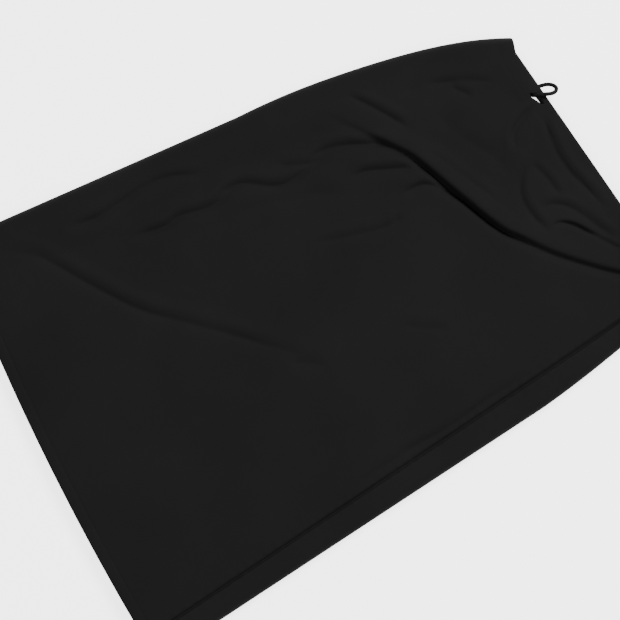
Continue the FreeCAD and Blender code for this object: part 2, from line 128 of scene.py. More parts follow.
# ---------------------------------------------------------------- plan outline
def line_then_arc(x, start, middle, end, radius, turn):
    """Y at x of a straight line followed by an arc."""
    slope = (middle[1] - start[1]) / (middle[0] - start[0])
    chord = math.dist(middle, end)
    rise = math.sqrt(radius**2 - chord**2 / 4)
    centre_x = (middle[0] + end[0]) / 2 - turn * (end[1] - middle[1]) / chord * rise
    centre_y = (middle[1] + end[1]) / 2 + turn * (end[0] - middle[0]) / chord * rise
    on_arc = centre_y - turn * np.sqrt(radius**2 - (x - centre_x) ** 2)
    straight = start[1] + slope * (x - start[0])
    return np.where(x > middle[0], on_arc, straight)


def hem_x(y):
    return HEM_FAR[0] + (y - HEM_FAR[1]) ** 2 / (2 * HEM_BOW)


def fold_lines(share):
    """The left and right fold lines' points at a share of the way from hem to waist."""
    left_start = (hem_x(LEFT_HEM_Y), LEFT_HEM_Y)
    right_start = (hem_x(RIGHT_HEM_Y), RIGHT_HEM_Y)
    left_x = left_start[0] + share * (LEFT_WAIST[0] - left_start[0])
    right_x = right_start[0] + share * (RIGHT_WAIST[0] - right_start[0])
    left_y = line_then_arc(left_x, left_start, LEFT_HIP, LEFT_WAIST, LEFT_RADIUS, -1)
    right_y = line_then_arc(right_x, right_start, RIGHT_HIP, RIGHT_WAIST, RIGHT_RADIUS, 1)
    return np.stack([left_x, left_y], -1), np.stack([right_x, right_y], -1)


def edge_shift(share, x, y):
    """How far a row between the folds leaves its straight chord, near hem and waist."""
    left0, right0 = fold_lines(np.zeros(1))
    left1, right1 = fold_lines(np.ones(1))

    def chord_x(low, high):
        return high[0, 0] + (y - high[0, 1]) * (low[0, 0] - high[0, 0]) / (low[0, 1] - high[0, 1])

    slope = (WAIST_SEAM[0] - WAIST_CORNER[0]) / (WAIST_SEAM[1] - WAIST_CORNER[1])
    waist_line = WAIST_CORNER[0] + slope * (y - WAIST_CORNER[1])
    corner_slope = (left1[0, 0] - WAIST_CORNER[0]) / (left1[0, 1] - WAIST_CORNER[1])
    waist_line = np.where(
        y > WAIST_CORNER[1],
        WAIST_CORNER[0] + corner_slope * (y - WAIST_CORNER[1]), waist_line)
    hem_part = (hem_x(y) - chord_x(right0, left0)) * (1 - smooth(0.0, 0.75, share))
    waist_part = (waist_line - chord_x(right1, left1)) * smooth(0.7, 1.0, share)
    return hem_part + waist_part


# ---------------------------------------------------------------- folds in the top layer
def through(points, spacing=4.0):
    """A smooth line through a few points, as closely spaced points."""
    p = np.array(points, float)
    p = np.vstack([2 * p[0] - p[1], p, 2 * p[-1] - p[-2]])
    out = []
    for a, b, c, d in zip(p, p[1:], p[2:], p[3:]):
        count = max(2, int(np.linalg.norm(c - b) / spacing))
        k = np.linspace(0, 1, count, endpoint=False)[:, None]
        out.append(0.5 * (2 * b + (c - a) * k + (2 * a - 5 * b + 4 * c - d) * k**2
                          + (3 * b - a - 3 * c + d) * k**3))
    return np.vstack(out + [p[-2:-1]])


def beside(line, x, y, reach):
    """Signed distance to a line (positive on its left), the share of the way along
    it, and the unit normal there, for the points within reach of it."""
    near = ((x > line[:, 0].min() - reach) & (x < line[:, 0].max() + reach)
            & (y > line[:, 1].min() - reach) & (y < line[:, 1].max() + reach))
    where = np.flatnonzero(near)
    q = np.stack([x.flat[where], y.flat[where]], -1)
    best = np.full(len(q), 1e9)
    side = np.zeros(len(q))
    along = np.zeros(len(q))
    normal = np.zeros((len(q), 2))
    runs = np.linalg.norm(np.diff(line, axis=0), axis=1)
    travelled = np.concatenate([[0.0], np.cumsum(runs)])
    for k, (a, b) in enumerate(zip(line, line[1:])):
        way = (b - a) / runs[k]
        rel = q - a
        foot = np.clip(rel @ way, 0, runs[k])
        away = rel - foot[:, None] * way
        distance = np.linalg.norm(away, axis=1)
        closer = distance < best
        best = np.where(closer, distance, best)
        across = rel[:, 1] * way[0] - rel[:, 0] * way[1]
        side = np.where(closer, np.sign(across) * distance, side)
        along = np.where(closer, (travelled[k] + foot) / travelled[-1], along)
        normal[closer] = (-way[1], way[0])
    return where, side, along, normal


# places, height, steep side's width, gentle side's width, valley depth, overhang,
# and how far along the fold has its full height
BIG_FOLDS = [
    ([(122, 220), (146, 196), (172, 161), (194, 130), (213, 103), (234, 53), (262, -17),
      (278, -43), (308, -84), (361, -137), (396, -156)], 6.4, 4.3, 15.0, 10.5, 5.2, 0.5),
    ([(305, -66), (312, -50), (326, -51), (341, -63), (358, -90), (376, -118)],
     2.6, 2.6, 7.0, 3.6, 1.6, 0.45),
]

# places, depth, width.  The groove is on the line, and a low swell on its left.
CREASES = [
    ([(-300, 252), (-251, 222), (-230, 195), (-198, 143), (-164, 95), (-114, 47),
      (-52, -15), (4, -66)], 2.0, 6.9),
    ([(-202, 228), (-156, 220), (-91, 225), (-59, 221), (-26, 207), (-8, 211)], 3.6, 6.0),
    ([(-145, 181), (-93, 171), (-72, 173), (-28, 165), (14, 176)], 2.7, 6.4),
    ([(-32, 173), (10, 172), (51, 147), (92, 147), (120, 144)], 3.1, 6.4),
    ([(55, 171), (95, 153), (124, 150)], 2.4, 5.5),
    ([(82, 158), (125, 157), (169, 138), (207, 113)], 3.5, 6.0),
    ([(126, 113), (148, 112), (176, 100), (210, 84)], 3.0, 5.5),
    ([(170, 66), (203, 64), (224, 40), (233, 20)], 3.2, 5.1),
    ([(46, 69), (106, 50), (144, 42), (184, 50)], 1.2, 5.5),
    ([(150, 36), (158, 52), (174, 60)], 1.2, 4.6),
    ([(170, 208), (188, 183), (205, 156), (221, 128)], 2.7, 5.1),
    ([(108, 230), (130, 228), (154, 212)], 1.6, 5.1),
    ([(258, 170), (306, 149), (340, 128)], 1.6, 6.0),
    ([(286, 152), (296, 139), (304, 127)], 1.6, 5.1),
    ([(316, 44), (325, 65), (345, 78), (366, 84)], 2.2, 4.6),
    ([(326, 27), (306, 14), (296, -8), (298, -36), (307, -64)], 2.3, 5.1),
    ([(326, 27), (334, 0), (338, -32)], 1.5, 4.6),
    ([(304, -27), (325, -31), (340, -43), (350, -60), (362, -86), (377, -112)], 2.2, 5.1),
    ([(368, 76), (360, 32), (361, -3), (370, -36), (380, -76)], 1.9, 5.1),
    ([(5, 226), (12, 234), (22, 244)], 1.4, 4.6),
    ([(-320, 236), (-200, 200), (-80, 196), (50, 186), (130, 176), (190, 150)], 1.5, 17.0),
    ([(-120, 150), (0, 140), (80, 118), (150, 78)], 1.1, 15.0),
    ([(252, 140), (268, 96), (292, 50), (300, 10)], 1.2, 13.0),
    ([(222, 108), (241, 66), (262, 20), (274, -14)], 0.9, 4.0),
    ([(-42, -42), (0, -70)], 0.9, 7.4),
    ([(95, -69), (146, -103)], 0.9, 6.4),
    ([(-60, -212), (24, -204), (93, -203), (154, -196), (230, -193)], 1.2, 5.5),
]


def noise_field(x, y, size, seed):
    """Smooth seeded noise of about unit height, with features of a given size."""
    table = np.random.default_rng(seed).normal(size=(64, 64))
    u, v = x / size + 31.7, y / size + 29.3
    iu, iv = np.floor(u).astype(int), np.floor(v).astype(int)
    fu, fv = u - iu, v - iv
    fu, fv = fu * fu * (3 - 2 * fu), fv * fv * (3 - 2 * fv)

    def at(du, dv):
        return table[(iu + du) % 64, (iv + dv) % 64]

    low = at(0, 0) * (1 - fu) + at(1, 0) * fu
    high = at(0, 1) * (1 - fu) + at(1, 1) * fu
    return low * (1 - fv) + high * fv


def relief(x, y):
    """The top layer's height over its flat place, and its sideways shift."""
    height = 0.55 * noise_field(x, y, 120.0, 3) + 0.16 * noise_field(x, y, 42.0, 5)
    height = height * smooth(0, 40, x + 345)
    rumpled = smooth(20, 200, y + 0.45 * x)
    height = height + (0.08 + 0.3 * rumpled) * noise_field(x, y, 26.0, 11)
    uneven = noise_field(x, y, 38.0, 13)
    shift = np.zeros(x.shape + (2,))
    for points, high, steep, gentle, valley, over, full in BIG_FOLDS:
        line = through(points)
        where, side, along, normal = beside(line, x, y, 60.0)
        ends = smooth(0.0, full, along) ** 1.3 * (1 - 0.6 * smooth(0.54, 0.72, along))
        ends = ends * (1 - smooth(0.9, 1.0, along))
        ridge = np.where(side < 0, np.exp(-(side / steep) ** 2),
                         np.exp(-np.abs(side / gentle) ** 1.7))
        groove = np.exp(-((side + 1.9 * steep) / (1.25 * steep)) ** 2)
        height.flat[where] += ends * (high * ridge - valley * groove)
        lean = ends * over * np.exp(-((side - 1.0) / (1.7 * steep)) ** 2)
        flat_shift = shift.reshape(-1, 2)
        flat_shift[where] -= lean[:, None] * normal
    for points, deep, wide in CREASES:
        where, side, along, _ = beside(through(points), x, y, 6 * wide)
        ends = smooth(0.0, 0.25, along) * (1 - smooth(0.72, 1.0, along))
        ends = ends * np.clip(1.0 + 0.25 * uneven.flat[where], 0.6, 1.4)
        narrow = 0.6 * np.exp(-(side / (0.5 * wide)) ** 2)
        groove = narrow + 0.5 * np.exp(-(side / (1.3 * wide)) ** 2)
        swell = np.exp(-((side - 1.7 * wide) / (1.2 * wide)) ** 2)
        height.flat[where] += ends * deep * (0.6 * swell - groove)
    return height, shift


# ---------------------------------------------------------------- the tube's surface
def tube(share, around, inset):
    """Points of the skirt's cloth.  share runs from hem to waist, around is the
    distance along the cloth across it, from the left fold line over the top, and
    inset is how far inside the cloth's middle a point lies."""
    left, right = fold_lines(share)
    chord = right - left
    flat = np.linalg.norm(chord, axis=-1)
    way = chord / flat[..., None]
    bend = math.pi * ROLL
    radius = ROLL - inset
    on_top = np.clip(around, 0.0, flat)
    right_turn = np.clip(around - flat, 0.0, bend) / ROLL
    left_turn = np.clip(-around, 0.0, bend) / ROLL
    under_right = np.maximum(around - flat - bend, 0.0)
    under_left = np.maximum(-around - bend, 0.0)
    out = radius * (np.sin(right_turn) - np.sin(left_turn))
    place = left + way * (on_top + out - under_right + under_left)[..., None]
    z = MIDDLE + radius * np.cos(right_turn + left_turn)
    x, y = place[..., 0], place[..., 1]
    x = x + edge_shift(share, x, np.clip(y, RIGHT_WAIST[1] - 90, LEFT_HEM_Y))
    high, shift = relief(x, y)
    in_hem = 1 - smooth(HEM_DEPTH, 2.2 * HEM_DEPTH, share * LENGTH)
    in_waist = 1 - smooth(CASING_DEPTH, 1.8 * CASING_DEPTH, (1 - share) * LENGTH)
    lock = waist_to_frame((*LOCK_MIDDLE, 0))
    from_lock = np.hypot(x - lock.x, y - lock.y)
    high = high + CROWN * smooth(0, 130, around) * smooth(0, 60, flat - around)
    lock_swell = LOCK_SWELL * np.exp(-(from_lock / LOCK_REACH) ** 2)
    high = high + WAIST_SWELL * in_waist + lock_swell
    high = high + np.maximum(in_hem, in_waist) * (np.maximum(high, -0.1) - high)
    fade = smooth(4.0, 34.0, around) * smooth(2.0, 22.0, flat - around)
    z = z + high * fade
    x = x + shift[..., 0] * fade
    y = y + shift[..., 1] * fade
    return np.stack([x, y, z], -1)


def flat_width(share):
    left, right = fold_lines(share)
    return np.linalg.norm(right - left, axis=-1)


def seam_inset(share):
    """From the right fold line to the seam on top."""
    _, right = fold_lines(share)
    start_x = hem_x(SEAM_HEM_Y)
    slope = (WAIST_SEAM[1] - SEAM_HEM_Y) / (WAIST_SEAM[0] - start_x)
    return SEAM_HEM_Y + slope * (right[..., 0] - start_x) - right[..., 1]


def under_inset(share):
    """From the left fold line to the seam underneath."""
    return np.interp(share, [0.0, 0.53, 1.0], UNDER_SEAM_INSET)


# a turned edge: distance from the edge and inset, from the hidden end outwards
TURNED = [(2.6, 2.9), (1.3, 2.75), (0.35, 2.15), (0.0, 1.45), (0.35, 0.72), (1.3, 0.16)]
# a seam's edge, rolling down into the ditch between two cloths
DITCH = [(0.35, 3.6), (0.5, 2.6), (0.9, 1.6), (1.7, 0.75), (3.1, 0.2)]


def cloth_rows():
    """Shares from hem to waist, and each row's inset: turned edges at both ends."""
    hem_stitch = [HEM_DEPTH + k for k in (-1.5, -0.7, 0.0, 0.7, 1.5)]
    casing_stitch = [CASING_DEPTH + k for k in (-1.4, -0.6, 0.0, 0.6, 1.4)]
    inner = np.arange(HEM_DEPTH + 3.5, LENGTH - CASING_DEPTH - 3.0, STEP)
    away = [e for e, _ in TURNED] + [2.8, 5.0, 7.2, 9.4] + hem_stitch + list(inner)
    insets = [i for _, i in TURNED] + [0.0] * (len(away) - len(TURNED))
    back = [e for e, _ in TURNED] + [2.8, 4.8, 6.8, 8.8, 10.8, 12.8, 14.8, 16.8, 18.6]
    back += casing_stitch
    back_insets = [i for _, i in TURNED] + [0.0] * (len(back) - len(TURNED))
    shares = [e / LENGTH for e in away] + [1 - e / LENGTH for e in reversed(back)]
    return np.array(shares), np.array(insets + back_insets[::-1])


def grid_mesh(name, points, keep=None, closed=False):
    """A mesh of quads on a grid of points in millimetres."""
    rows, cols = points.shape[:2]
    index = np.arange(rows * cols).reshape(rows, cols)
    if closed:
        index = np.hstack([index, index[:, :1]])
    quads = np.stack([index[:-1, :-1], index[:-1, 1:], index[1:, 1:], index[1:, :-1]], -1)
    quads = quads.reshape(-1, 4)
    if keep is not None:
        quads = quads[keep.reshape(-1)]
    mesh = bpy.data.meshes.new(name)
    used, packed = np.unique(quads, return_inverse=True)
    mesh.from_pydata((points.reshape(-1, 3)[used] * MM).tolist(), [],
                     packed.reshape(-1, 4).tolist())
    mesh.polygons.foreach_set("use_smooth", [True] * len(mesh.polygons))
    mesh.update()
    obj = bpy.data.objects.new(name, mesh)
    bpy.context.scene.collection.objects.link(obj)
    return obj


def thicken(obj, thickness, offset=0.0):
    solid = obj.modifiers.new("thickness", "SOLIDIFY")
    solid.thickness = thickness * MM
    solid.offset = offset
    solid.use_even_offset = False
    solid.use_quality_normals = False
    return obj


def slit_corners():
    return np.array([waist_to_frame((u, v, 0)).to_2d() for u, v in SLIT])


def inside(polygon, x, y):
    result = np.zeros(x.shape, bool)
    for a, b in zip(polygon, np.roll(polygon, -1, axis=0)):
        crosses = (a[1] > y) != (b[1] > y)
        with np.errstate(divide="ignore", invalid="ignore"):
            at = (b[0] - a[0]) * (y - a[1]) / (b[1] - a[1]) + a[0]
        result ^= crosses & (x < at)
    return result


def snap_to(polygon, x, y, reach):
    """Move points that are within reach of the polygon's edge onto it."""
    best = np.full(x.shape, 1e9)
    near = np.stack([x, y], -1)
    q = near.copy()
    for a, b in zip(polygon, np.roll(polygon, -1, axis=0)):
        way = b - a
        k = np.clip(((q - a) @ way) / (way @ way), 0, 1)
        foot = a + k[..., None] * way
        distance = np.linalg.norm(q - foot, axis=-1)
        closer = distance < best
        best = np.where(closer, distance, best)
        near = np.where((closer & (distance < reach))[..., None], foot, near)
    return near[..., 0], near[..., 1]


def with_slit(points):
    """Cut the drawcord's slit in a grid of cloth: which quads stay, and the points."""
    polygon = slit_corners()
    centre = (points[:-1, :-1] + points[1:, :-1] + points[:-1, 1:] + points[1:, 1:]) / 4
    hole = inside(polygon, centre[..., 0], centre[..., 1])
    corner_hit = np.zeros(points.shape[:2], int)
    for dy in (0, 1):
        for dx in (0, 1):
            corner_hit[dy:dy + hole.shape[0], dx:dx + hole.shape[1]] += hole
    rim = (corner_hit > 0) & (corner_hit < 4)
    x, y = snap_to(polygon, points[..., 0], points[..., 1], 3.0)
    moved = points.copy()
    moved[..., 0] = np.where(rim, x, points[..., 0])
    moved[..., 1] = np.where(rim, y, points[..., 1])
    return moved, ~hole


def dress(points, share, around, rows_inset, seam):
    """Stitch dimples along the hem and the waist casing, and puckers by the seam."""
    hem_away = share * LENGTH
    waist_away = (1 - share) * LENGTH
    top = (around > 0) & (rows_inset == 0)
    hem_groove = np.exp(-((hem_away - HEM_DEPTH) / 1.1) ** 2)
    dash = 0.5 + 0.5 * np.cos(around * (2 * math.pi / 7.0))
    casing_groove = np.exp(-((waist_away - CASING_DEPTH) / 1.2) ** 2)
    casing_swell = np.exp(-((waist_away - 0.5 * CASING_DEPTH) / (0.33 * CASING_DEPTH)) ** 2)
    hem_swell = np.exp(-((hem_away - 0.5 * HEM_DEPTH) / (0.35 * HEM_DEPTH)) ** 2)
    drop = hem_groove * (0.1 + 0.4 * dash) + 0.15 * casing_groove
    ripple = np.cos(points[..., 0] * 2 * math.pi / 15.0 + 2.0 * noise_field(
        points[..., 0], points[..., 1], 30.0, 17))
    drop += 0.28 * ripple * np.exp(-((seam - around) / 9.0) ** 2)
    drop -= 0.25 * casing_swell + 0.15 * hem_swell
    points[..., 2] -= np.where(top, drop, 0.0)
    return points


def cloth_layer(name, rows, insets, around, seam, stitched):
    """A layer of cloth on its grid, with both of its seam edges rolled down.
    stitched is the distance around that the stitch dimples go by."""
    ditch = [inset for _, inset in DITCH]
    plain = around.shape[1] - 2 * len(ditch)
    columns = np.array(ditch + [0.0] * plain + ditch[::-1])
    share = np.broadcast_to(rows[:, None], around.shape)
    points = tube(share, around, insets[:, None] + columns[None, :])
    on_edge = np.broadcast_to(insets[:, None], around.shape)
    points = dress(points, share, stitched, on_edge, seam)
    points, keep = with_slit(points)
    return thicken(grid_mesh(name, points, keep), CLOTH)


def front_cloth(rows, insets):
    """The upper layer, from the seam underneath, round the left fold, to the top seam."""
    flat = flat_width(rows)[:, None]
    seam = flat - seam_inset(rows)[:, None]
    under = -math.pi * ROLL - under_inset(rows)[:, None]
    ditch_in = [under + e for e, _ in DITCH]
    strip = [under + (-math.pi * ROLL - under) * k for k in np.linspace(0.12, 1.0, 9)]
    roll = [np.full_like(flat, -math.pi * ROLL * k) for k in np.linspace(1, 0, 13)[1:-1]]
    count = int(ACROSS / STEP)
    across = [seam * k for k in np.linspace(0.0, 1.0, count)[:-1] * 0.9965]
    ditch_out = [seam - e for e, _ in reversed(DITCH)]
    around = np.hstack(ditch_in + strip + roll + across + ditch_out)
    return cloth_layer("front_cloth", rows, insets, around, seam, around)


def back_cloth(rows, insets):
    """The lower layer, from the top seam, round the right fold, to the seam underneath."""
    flat = flat_width(rows)[:, None]
    seam = flat - seam_inset(rows)[:, None]
    bend = math.pi * ROLL
    end = flat + bend + flat - under_inset(rows)[:, None]
    ditch_in = [seam + e for e, _ in DITCH]
    strip = [seam + (flat - seam) * k for k in np.linspace(0.1, 1.0, 12)]
    roll = [flat + bend * k for k in np.linspace(0, 1, 15)[1:]]
    count = int(ACROSS / BACK_STEP)
    across = [flat + bend + (end - flat - bend) * k
              for k in np.linspace(0.0, 1.0, count)[1:-1]]
    ditch_out = [end - e for e, _ in reversed(DITCH)]
    around = np.hstack(ditch_in + strip + roll + across + ditch_out)
    on_top = np.where(around < flat, around, -1.0)
    return cloth_layer("back_cloth", rows, insets, around, seam, on_top)


# the casings' sections: distance from the edge and inset
HEM_CASING = [(1.1, 1.5), (1.3, 2.6), (3.2, 3.2), (7.0, 3.35), (10.6, 3.2), (12.2, 2.2),
              (13.0, 1.25), (14.6, 1.0)]
WAIST_CASING = [(1.2, 1.5), (1.4, 3.4), (3.2, 5.1), (7.0, 5.95), (11.0, 6.15), (15.4, 6.15),
                (18.8, 5.6), (20.8, 3.1), (21.5, 1.3), (23.4, 1.0)]


def casing(name, section, from_waist, under_share):
    """The turned strip inside an edge, all the way round the tube."""
    away = np.array([e for e, _ in section]) / LENGTH
    rows = 1 - away if from_waist else away
    flat = flat_width(rows)[:, None]
    bend = math.pi * ROLL
    top = [flat * k for k in np.linspace(0, 1, 150)]
    right = [flat + bend * k for k in np.linspace(0, 1, 14)[1:-1]]
    under = [flat + bend + flat * k for k in np.linspace(0, 1, 150)]
    left = [2 * flat + bend + bend * k for k in np.linspace(0, 1, 14)[1:-1]]
    around = np.hstack(top + right + under + left)
    is_left = around > 2 * flat + bend
    around = np.where(is_left, around - 2 * (flat + bend), around)
    turn = np.clip((around - flat) / bend, 0, 1) + np.clip(-around / bend, 0, 1)
    inset = np.array([i for _, i in section])[:, None] * (1 - (1 - under_share) * turn)
    share = np.broadcast_to(rows[:, None], around.shape)
    points = tube(share, around, inset)
    keep = None
    if from_waist:
        ring = np.concatenate([points, points[:, :1]], axis=1)
        _, keep = with_slit(ring)
    return thicken(grid_mesh(name, points, keep, closed=True), 0.5)


def seam_tape(name, centre):
    """A thin tape inside a side seam, 12 mm wide."""
    rows = np.linspace(TAPE_FROM_HEM / LENGTH, 1 - TAPE_FROM_WAIST / LENGTH, 230)
    middle = centre(rows)[:, None]
    lanes = np.array([-6.0, -4.5, -1.5, 0.0, 1.5, 4.5, 6.0])[None, :]
    around = middle + lanes
    inset = np.array([0.95, 1.0, 1.05, 1.5, 1.05, 1.0, 0.95])[None, :] + 0.1
    share = np.broadcast_to(rows[:, None], around.shape)
    points = tube(share, around, np.broadcast_to(inset, around.shape))
    return thicken(grid_mesh(name, points), 0.45)


def dashes(name, places, radius):
    """Short raised stitches of thread: each place is its middle, way and length."""
    verts, faces = [], []
    for middle, way, length in places:
        way = way / np.linalg.norm(way)
        side = np.cross(way, (0, 0, 1.0))
        side = side / np.linalg.norm(side)
        up = np.cross(side, way)
        start = len(verts)
        for k, wide in ((-0.5, 0.35), (-0.3, 1.0), (0.3, 1.0), (0.5, 0.35)):
            for turn in np.arange(6) * math.pi / 3:
                ring = radius * wide * (math.cos(turn) * side + math.sin(turn) * up)
                verts.append(tuple((middle + way * (k * length) + ring) * MM))
        for ring in range(3):
            for k in range(6):
                a = start + ring * 6 + k
                b = start + ring * 6 + (k + 1) % 6
                faces.append((a, b, b + 6, a + 6))
        faces.append(tuple(start + k for k in reversed(range(6))))
        faces.append(tuple(start + 18 + k for k in range(6)))
    mesh = bpy.data.meshes.new(name)
    mesh.from_pydata(verts, [], faces)
    mesh.polygons.foreach_set("use_smooth", [True] * len(mesh.polygons))
    obj = bpy.data.objects.new(name, mesh)
    bpy.context.scene.collection.objects.link(obj)
    return obj


def surface_stitches(name, away, from_waist, pitch, length, radius, lift):
    """Stitches across the top layer, along one row of the cloth."""
    share = 1 - away / LENGTH if from_waist else away / LENGTH
    rows = np.array([share])
    end = float(flat_width(rows)[0] - seam_inset(rows)[0]) - 3.0
    around = np.arange(4.0, end, pitch)
    one = np.full_like(around, share)
    middle = tube(one, around, np.zeros_like(around))
    ahead = tube(one, around + 1.0, np.zeros_like(around))
    places = []
    polygon = slit_corners()
    grown = polygon.mean(axis=0) + 1.5 * (polygon - polygon.mean(axis=0))
    clear = ~inside(grown, middle[:, 0], middle[:, 1])
    for here, there in zip(middle[clear], ahead[clear]):
        places.append((here + (0, 0, CLOTH / 2 + lift), there - here, length))
    return dashes(name, places, radius)


# ---------------------------------------------------------------- cords and webbing
def cord_tube(name, points, diameter):
    """A round cord on a smooth route, and the points of its centreline."""
    curve = bpy.data.curves.new(name, "CURVE")
    curve.dimensions = "3D"
    spline = curve.splines.new("NURBS")
    spline.points.add(len(points) - 1)
    for slot, place in zip(spline.points, points):
        slot.co = (*place, 1.0)
    spline.order_u = 3
    spline.use_endpoint_u = True
    spline.resolution_u = 10
    line = bpy.data.objects.new(name + "_line", curve)
    centreline = [v.co.copy() for v in bpy.data.meshes.new_from_object(line).vertices]
    round_curve = curve.copy()
    round_curve.bevel_depth = diameter / 2
    round_curve.bevel_resolution = 5
    round_curve.use_fill_caps = True
    thick_line = bpy.data.objects.new(name + "_thick_line", round_curve)
    obj = bpy.data.objects.new(name, bpy.data.meshes.new_from_object(thick_line))
    bpy.data.objects.remove(line)
    bpy.data.objects.remove(thick_line)
    bpy.context.scene.collection.objects.link(obj)
    return obj, centreline


def drawcord_loop():
    points = [waist_to_frame(point) * MM for point in LOOP_ROUTE]
    loop, centreline = cord_tube("drawcord_pull_loop", points, CORD_WIDE * MM)
    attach(loop, "skirt")
    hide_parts("drawcord_loop")
    return loop


def slit_edge(name, height):
    """The buttonhole stitching round the drawcord's slit, as a ring of thread."""
    corners = slit_corners()
    centre = corners.mean(axis=0)
    ring = []
    for a, b in zip(corners, np.roll(corners, -1, axis=0)):
        count = max(3, int(np.linalg.norm(b - a) / 1.0))
        for k in np.arange(count) / count:
            ring.append(a + (b - a) * k)
    ring = np.array(ring)
    places = []
    for here in ring:
        out = here - centre
        out = out / np.linalg.norm(out)
        way = np.array([out[0], out[1], 0.0])
        places.append((np.array([here[0] + 0.9 * out[0], here[1] + 0.9 * out[1], height]),
                       way, 2.2))
    return dashes(name, places, 0.42)


def ribbon(name, path, width, middle_y, thickness):
    """Flat webbing along a path in the XZ plane, with slightly rounded edges."""
    line = through(path, 1.5)
    tangent = np.gradient(line, axis=0)
    tangent /= np.linalg.norm(tangent, axis=1)[:, None]
    normal = np.stack([-tangent[:, 1], tangent[:, 0]], -1)
    half, thick = width / 2, thickness / 2
    section = [(-half + 0.5, thick), (-half * 0.6, thick), (0, thick), (half * 0.6, thick),
               (half - 0.5, thick), (half, 0), (half - 0.5, -thick), (half * 0.6, -thick),
               (0, -thick), (-half * 0.6, -thick), (-half + 0.5, -thick), (-half, 0)]
    points = np.zeros((len(line), len(section), 3))
    for k, (across, out) in enumerate(section):
        points[:, k, 0] = line[:, 0] + normal[:, 0] * out
        points[:, k, 1] = middle_y + across
        points[:, k, 2] = line[:, 1] + normal[:, 1] * out
    obj = grid_mesh(name, points, closed=True)
    mesh = obj.data
    cols = len(section)
    verts = [v.co.copy() for v in mesh.vertices]
    faces = [tuple(p.vertices) for p in mesh.polygons]
    faces.append(tuple(reversed(range(cols))))
    faces.append(tuple(range(len(verts) - cols, len(verts))))
    mesh.clear_geometry()
    mesh.from_pydata(verts, [], faces)
    mesh.polygons.foreach_set("use_smooth", [True] * len(mesh.polygons))
    mesh.update()
    return obj


def grab_strap():
    """The webbing of the grab loop: both ends sewn inside the hem, one long eye."""
    low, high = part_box("grab_loop")
    middle_y = (low[1] + high[1]) / 2 / MM
    end = low[0] / MM
    path = [(-296, 2.8), (-306, 2.9), (-313, 4.0), (-319, 6.1), (-334, 6.5), (-347, 6.6),
            (-354, 7.4), (-363, 8.9), (-376, 9.2), (end + 9, 9.0), (end + 3.2, 8.0),
            (end + 1.1, 5.2), (end + 3.2, 2.4), (end + 9, 1.4), (-376, 1.2), (-363, 1.6),
            (-354, 3.2), (-347, 4.4), (-336, 4.9), (-322, 4.9)]
    strap = ribbon("grab_strap", path, WEBBING_WIDE, middle_y, WEBBING_THICK)
    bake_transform(strap)
    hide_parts("grab_loop", "grab_tail")
    places = []
    for k in np.linspace(-9.5, 9.5, 20):
        places.append((np.array([-343.2, middle_y + k, 7.45]), np.array([1.0, 0, 0.0]), 3.6))
    tack = dashes("grab_strap_bartack", places, 0.42)
    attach(tack, "skirt")
    return strap, tack


def size_label():
    """A blank label inside the lower layer, with a free edge that curls a little."""
    rows, cols = 16, 12
    u = np.linspace(101.0, 129.0, cols)
    v = np.linspace(-11.5, -51.0, rows)
    points = np.zeros((rows, cols, 3))
    for i, across in enumerate(v):
        for k, along in enumerate(u):
            place = waist_to_frame((along, across, 0))
            curl = 0.9 * ((i / (rows - 1)) ** 3) + 0.25 * math.sin(k / (cols - 1) * math.pi)
            points[i, k] = (place.x, place.y, 1.55 + curl)
    label = thicken(grid_mesh("blank_size_label", points), 0.3)
    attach(label, "skirt")
    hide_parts("size_label")
    return label


# ---------------------------------------------------------------- materials
def material(name):
    made = bpy.data.materials.new(name)
    made.use_nodes = True
    nodes, links = made.node_tree.nodes, made.node_tree.links
    return made, nodes, links, nodes["Principled BSDF"]


def object_coords(nodes, links, scale):
    coords = nodes.new("ShaderNodeTexCoord")
    mapping = nodes.new("ShaderNodeMapping")
    mapping.inputs["Scale"].default_value = scale
    links.new(coords.outputs["Object"], mapping.inputs["Vector"])
    return mapping.outputs["Vector"]


def ramp_between(nodes, links, factor, low, high):
    ramp = nodes.new("ShaderNodeValToRGB")
    ramp.color_ramp.elements[0].color = (*low, 1)
    ramp.color_ramp.elements[1].color = (*high, 1)
    ramp.color_ramp.elements[0].position = 0.3
    ramp.color_ramp.elements[1].position = 0.7
    links.new(factor, ramp.inputs["Fac"])
    return ramp.outputs["Color"]


def noise(nodes, links, vector, scale, detail=3.0):
    texture = nodes.new("ShaderNodeTexNoise")
    texture.inputs["Scale"].default_value = scale
    texture.inputs["Detail"].default_value = detail
    links.new(vector, texture.inputs["Vector"])
    return texture.outputs["Fac"]


def wave(nodes, links, vector, scale, direction, distortion=0.0):
    texture = nodes.new("ShaderNodeTexWave")
    texture.wave_type = "BANDS"
    texture.bands_direction = direction
    texture.inputs["Scale"].default_value = scale
    texture.inputs["Distortion"].default_value = distortion
    links.new(vector, texture.inputs["Vector"])
    return texture.outputs["Fac"]


def maths(nodes, links, operation, a, b):
    node = nodes.new("ShaderNodeMath")
    node.operation = operation
    for socket, source in zip(node.inputs, (a, b)):
        if isinstance(source, (int, float)):
            socket.default_value = source
        else:
            links.new(source, socket)
    return node.outputs[0]


def bumped(nodes, links, shader, height, strength, distance):
    bump = nodes.new("ShaderNodeBump")
    bump.inputs["Strength"].default_value = strength
    bump.inputs["Distance"].default_value = distance
    links.new(height, bump.inputs["Height"])
    links.new(bump.outputs["Normal"], shader.inputs["Normal"])


